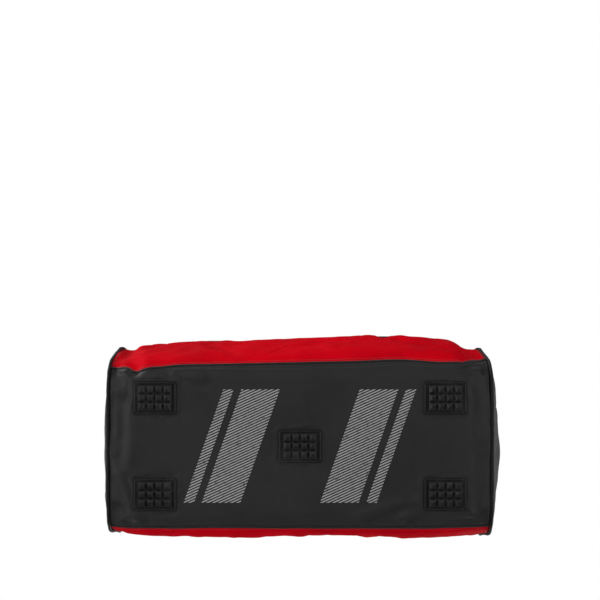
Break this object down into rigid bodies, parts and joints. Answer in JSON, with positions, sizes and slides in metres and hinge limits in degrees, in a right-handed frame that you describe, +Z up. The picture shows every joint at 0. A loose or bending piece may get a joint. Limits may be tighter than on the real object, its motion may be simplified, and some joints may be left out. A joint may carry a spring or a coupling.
{
  "type": "hockey equipment bag",
  "caption": "Soft holdall for sports kit: flat reinforced base on moulded rubber feet, hinged U-shaped zipped lid, front pocket, padded carry handles and end rings.",
  "frame": {"origin": "on the floor under the middle of the bag, at the height of the tips of its feet", "axes": "+X along the bag, +Y towards its back (the lid's hinge side; the pocket is on the -Y side), +Z up"},
  "size_m": [0.6598, 0.332, 0.4334],
  "materials": {
    "base_cloth": "coated black base cloth",
    "red_cloth": "woven red cloth",
    "end_cloth": "woven black cloth",
    "piping": "satin",
    "foot_rubber": "matt moulded",
    "board": "matt",
    "zip_tape": "ribbed tape",
    "zip_coil": "satin",
    "zip_metal": "gunmetal",
    "ring_metal": "gunmetal",
    "webbing": "ribbed webbing",
    "lining": "plain lining"
  },
  "bodies": {
    "bag": {"base_panel": "base_cloth", "front_panel": "red_cloth", "back_panel": "red_cloth", "top_surround": "red_cloth", "body_zip_tape": "zip_tape", "body_zip_coil": "zip_coil", "zip_end_tab_left": "webbing", "zip_end_tab_right": "webbing", "left_end_panel": "end_cloth", "right_end_panel": "end_cloth", "left_piping": "piping", "right_piping": "piping", "foot_centre": "foot_rubber", "foot_front_left": "foot_rubber", "foot_front_right": "foot_rubber", "foot_back_left": "foot_rubber", "foot_back_right": "foot_rubber", "base_board": "board", "pocket_zip_tape": "zip_tape", "pocket_zip_coil": "zip_coil", "pocket_lining": "lining", "handle_anchor_front_left": "webbing", "handle_anchor_front_right": "webbing", "handle_anchor_back_left": "webbing", "handle_anchor_back_right": "webbing", "left_ring_tab": "webbing", "right_ring_tab": "webbing"},
    "lid": {"lid_panel": "red_cloth", "lid_zip_tape": "zip_tape", "lid_zip_coil": "zip_coil"},
    "lid_slider_left": {"lid_slider_left": "zip_metal"},
    "lid_slider_right": {"lid_slider_right": "zip_metal"},
    "lid_pull_left": {"lid_pull_left": "zip_metal"},
    "lid_pull_right": {"lid_pull_right": "zip_metal"},
    "pocket_slider": {"pocket_slider": "zip_metal"},
    "pocket_pull": {"pocket_pull": "zip_metal"},
    "front_handle": {"front_handle_strap": "webbing", "front_handle_grip": "end_cloth"},
    "back_handle": {"back_handle_strap": "webbing", "back_handle_grip": "end_cloth"},
    "left_ring": {"left_d_ring": "ring_metal"},
    "right_ring": {"right_d_ring": "ring_metal"}
  },
  "joints": [
    {"name": "lid_hinge", "type": "hinge", "parent": "bag", "child": "lid", "pos_m": [0, 0.088, 0.3076], "axis": [-1, 0, 0], "range_deg": [0, 95]},
    {"name": "lid_slider_left_slide", "type": "slide", "parent": "lid", "child": "lid_slider_left", "axis": [-1, 0, 0], "range_m": [0, 0.16]},
    {"name": "lid_slider_right_slide", "type": "slide", "parent": "lid", "child": "lid_slider_right", "axis": [1, 0, 0], "range_m": [0, 0.16]},
    {"name": "lid_pull_left_hinge", "type": "hinge", "parent": "lid_slider_left", "child": "lid_pull_left", "pos_m": [-0.012, -0.08873, 0.30999], "axis": [0, 0.9475, 0.3199], "range_deg": [0, 95]},
    {"name": "lid_pull_right_hinge", "type": "hinge", "parent": "lid_slider_right", "child": "lid_pull_right", "pos_m": [0.012, -0.08873, 0.30999], "axis": [0, -0.9475, -0.3199], "range_deg": [0, 95]},
    {"name": "pocket_slider_slide", "type": "slide", "parent": "bag", "child": "pocket_slider", "axis": [1, 0, 0], "range_m": [0, 0.17]},
    {"name": "pocket_pull_hinge", "type": "hinge", "parent": "pocket_slider", "child": "pocket_pull", "pos_m": [-0.096, -0.16071, 0.24835], "axis": [0, -0.3654, -0.9309], "range_deg": [0, 95]},
    {"name": "front_handle_hinge", "type": "hinge", "parent": "bag", "child": "front_handle", "pos_m": [0, -0.14963, 0.26401], "axis": [1, 0, 0], "range_deg": [-35, 150]},
    {"name": "back_handle_hinge", "type": "hinge", "parent": "bag", "child": "back_handle", "pos_m": [0, 0.14963, 0.26401], "axis": [-1, 0, 0], "range_deg": [-35, 150]},
    {"name": "left_ring_hinge", "type": "hinge", "parent": "bag", "child": "left_ring", "pos_m": [-0.32541, 0, 0.24], "axis": [0, 1, 0], "range_deg": [0, 150]},
    {"name": "right_ring_hinge", "type": "hinge", "parent": "bag", "child": "right_ring", "pos_m": [0.32541, 0, 0.24], "axis": [0, -1, 0], "range_deg": [0, 150]}
  ]
}
